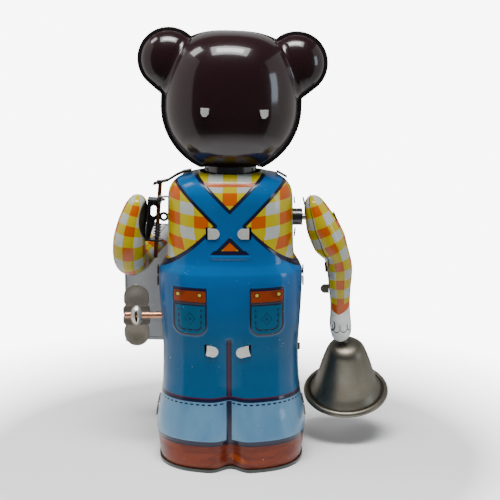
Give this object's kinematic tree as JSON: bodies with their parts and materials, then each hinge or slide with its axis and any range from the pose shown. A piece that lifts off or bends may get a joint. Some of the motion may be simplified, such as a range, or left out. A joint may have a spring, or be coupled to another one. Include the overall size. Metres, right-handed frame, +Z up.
{
  "type": "wind-up tin toy",
  "caption": "Clockwork lithographed tin bear in bib overalls that swings a hand bell on one arm and holds out an open newspaper on the other, with a butterfly key in its side.",
  "frame": {"origin": "on the floor, at the middle of the base tray under the body's side seams", "axes": "+Z up, the bear faces -Y, its left side with the key and the paper is +X and its right side with the bell is -X"},
  "size_m": [0.1049, 0.0569, 0.1601],
  "materials": {
    "litho_tin": "gloss lithographed tinplate",
    "head_tin": "gloss dark brown enamel",
    "base_tin": "gloss dark green enamel",
    "black_tin": "black enamel",
    "bright_tin": "bright tinplate",
    "steel": "bright",
    "spring_steel": "blued",
    "coppered_steel": "copper flash",
    "key_steel": "dull nickel",
    "bell_steel": "brushed",
    "gear_brass": "satin",
    "paper_tin": "gloss lithographed tinplate"
  },
  "bodies": {
    "body": {"body_front": "litho_tin", "body_back": "litho_tin", "base_tray": "base_tin", "seam_tabs": "black_tin", "neck_tube": "black_tin", "motor_plate_left": "bright_tin", "motor_plate_right": "bright_tin", "motor_pillars": "steel", "neck_bearing": "bright_tin", "mainspring": "spring_steel", "shoulder_sleeve": "black_tin", "shoulder_bracket": "bright_tin", "hinge_rod": "coppered_steel", "rod_eye": "black_tin", "rod_spring": "spring_steel", "stop_yoke": "black_tin", "rocker_yoke": "bright_tin"},
    "key": {"key_wings": "key_steel", "key_shaft": "coppered_steel", "ratchet_wheel": "gear_brass"},
    "main_wheel": {"main_gear": "gear_brass", "click_pawl": "spring_steel", "click_pin": "steel"},
    "second_wheel": {"second_arbor": "steel", "second_pinion": "gear_brass", "second_gear": "gear_brass"},
    "third_wheel": {"third_arbor": "steel", "third_pinion": "gear_brass", "third_gear": "gear_brass", "crank_disc": "gear_brass", "paper_cam": "gear_brass"},
    "fly": {"fly_arbor": "steel", "fly_pinion": "gear_brass", "fly_weight": "gear_brass"},
    "bell_arm": {"bell_arm_outer": "litho_tin", "bell_arm_inner": "litho_tin", "bell_arm_tabs": "black_tin", "bell_axle": "steel", "bell_lever": "spring_steel", "lever_pin": "steel", "bell_cup": "bell_steel", "bell_hanger": "steel"},
    "link": {"bell_link": "spring_steel"},
    "clapper": {"clapper_wire": "steel", "clapper_ball": "steel"},
    "paper_arm": {"paper_arm_shell": "litho_tin", "arm_bracket": "black_tin", "newspaper": "paper_tin", "paper_rivet": "steel"},
    "push_wire": {"push_wire": "steel"},
    "rocker": {"paper_rocker": "bright_tin"},
    "head": {"head_back": "head_tin", "head_front": "head_tin", "head_bracket": "bright_tin", "neck_shaft": "steel"},
    "stop_lever": {"stop_lever": "black_tin"}
  },
  "joints": [
    {"name": "main_wheel_spin", "type": "hinge", "parent": "body", "child": "main_wheel", "pos_m": [0.0062, 0.002, 0.0541], "axis": [1, 0, 0], "continuous": true},
    {"name": "key_spin", "type": "hinge", "parent": "body", "child": "key", "pos_m": [0.035, 0.002, 0.0541], "axis": [1, 0, 0], "continuous": true},
    {"name": "second_wheel_spin", "type": "hinge", "parent": "body", "child": "second_wheel", "pos_m": [0.0038, -0.00201, 0.07017], "axis": [1, 0, 0], "continuous": true},
    {"name": "third_wheel_spin", "type": "hinge", "parent": "body", "child": "third_wheel", "pos_m": [0.0016, 0.00401, 0.08198], "axis": [1, 0, 0], "continuous": true},
    {"name": "fly_spin", "type": "hinge", "parent": "body", "child": "fly", "pos_m": [0.0016, -0.00675, 0.08633], "axis": [1, 0, 0], "continuous": true},
    {"name": "bell_arm_swing", "type": "hinge", "parent": "body", "child": "bell_arm", "pos_m": [-0.025, 0, 0.091], "axis": [1, 0, 0], "range_deg": [-38, 8]},
    {"name": "bell_link_pivot", "type": "hinge", "parent": "bell_arm", "child": "link", "pos_m": [-0.0039, 0.0054, 0.0894], "axis": [1, 0, 0], "range_deg": [-14, 61.5]},
    {"name": "clapper_swing", "type": "hinge", "parent": "bell_arm", "child": "clapper", "pos_m": [-0.04402, -0.01044, 0.03714], "axis": [1, 0, 0], "range_deg": [-44, 4]},
    {"name": "paper_arm_swing", "type": "hinge", "parent": "body", "child": "paper_arm", "pos_m": [0.0267, 0, 0.09], "axis": [-0.075, 0, 0.9972], "range_deg": [-8, 28]},
    {"name": "push_wire_slide", "type": "slide", "parent": "body", "child": "push_wire", "axis": [-1, 0, 0], "range_m": [-0.0006, 0.0014]},
    {"name": "rocker_pivot", "type": "hinge", "parent": "body", "child": "rocker", "pos_m": [0.0141, 0.0026, 0.0896], "axis": [0, -1, 0], "range_deg": [-3, 9]},
    {"name": "head_turn", "type": "hinge", "parent": "body", "child": "head", "pos_m": [0, 0, 0.11], "axis": [0, 0, 1], "range_deg": [-25, 25]},
    {"name": "stop_lever_tilt", "type": "hinge", "parent": "body", "child": "stop_lever", "pos_m": [-0.0092, 0, 0.0416], "axis": [0, 1, 0], "range_deg": [-5, 5]}
  ],
  "couplings": [
    {"joint": "key_spin", "follows": "main_wheel_spin", "ratio": 1},
    {"joint": "second_wheel_spin", "follows": "main_wheel_spin", "ratio": -4},
    {"joint": "third_wheel_spin", "follows": "main_wheel_spin", "ratio": 12},
    {"joint": "fly_spin", "follows": "main_wheel_spin", "ratio": -30},
    {"joint": "bell_link_pivot", "follows": "bell_arm_swing", "ratio": -1.58},
    {"joint": "push_wire_slide", "follows": "paper_arm_swing", "m_per_rad": 0.0025},
    {"joint": "rocker_pivot", "follows": "paper_arm_swing", "ratio": 0.267}
  ]
}
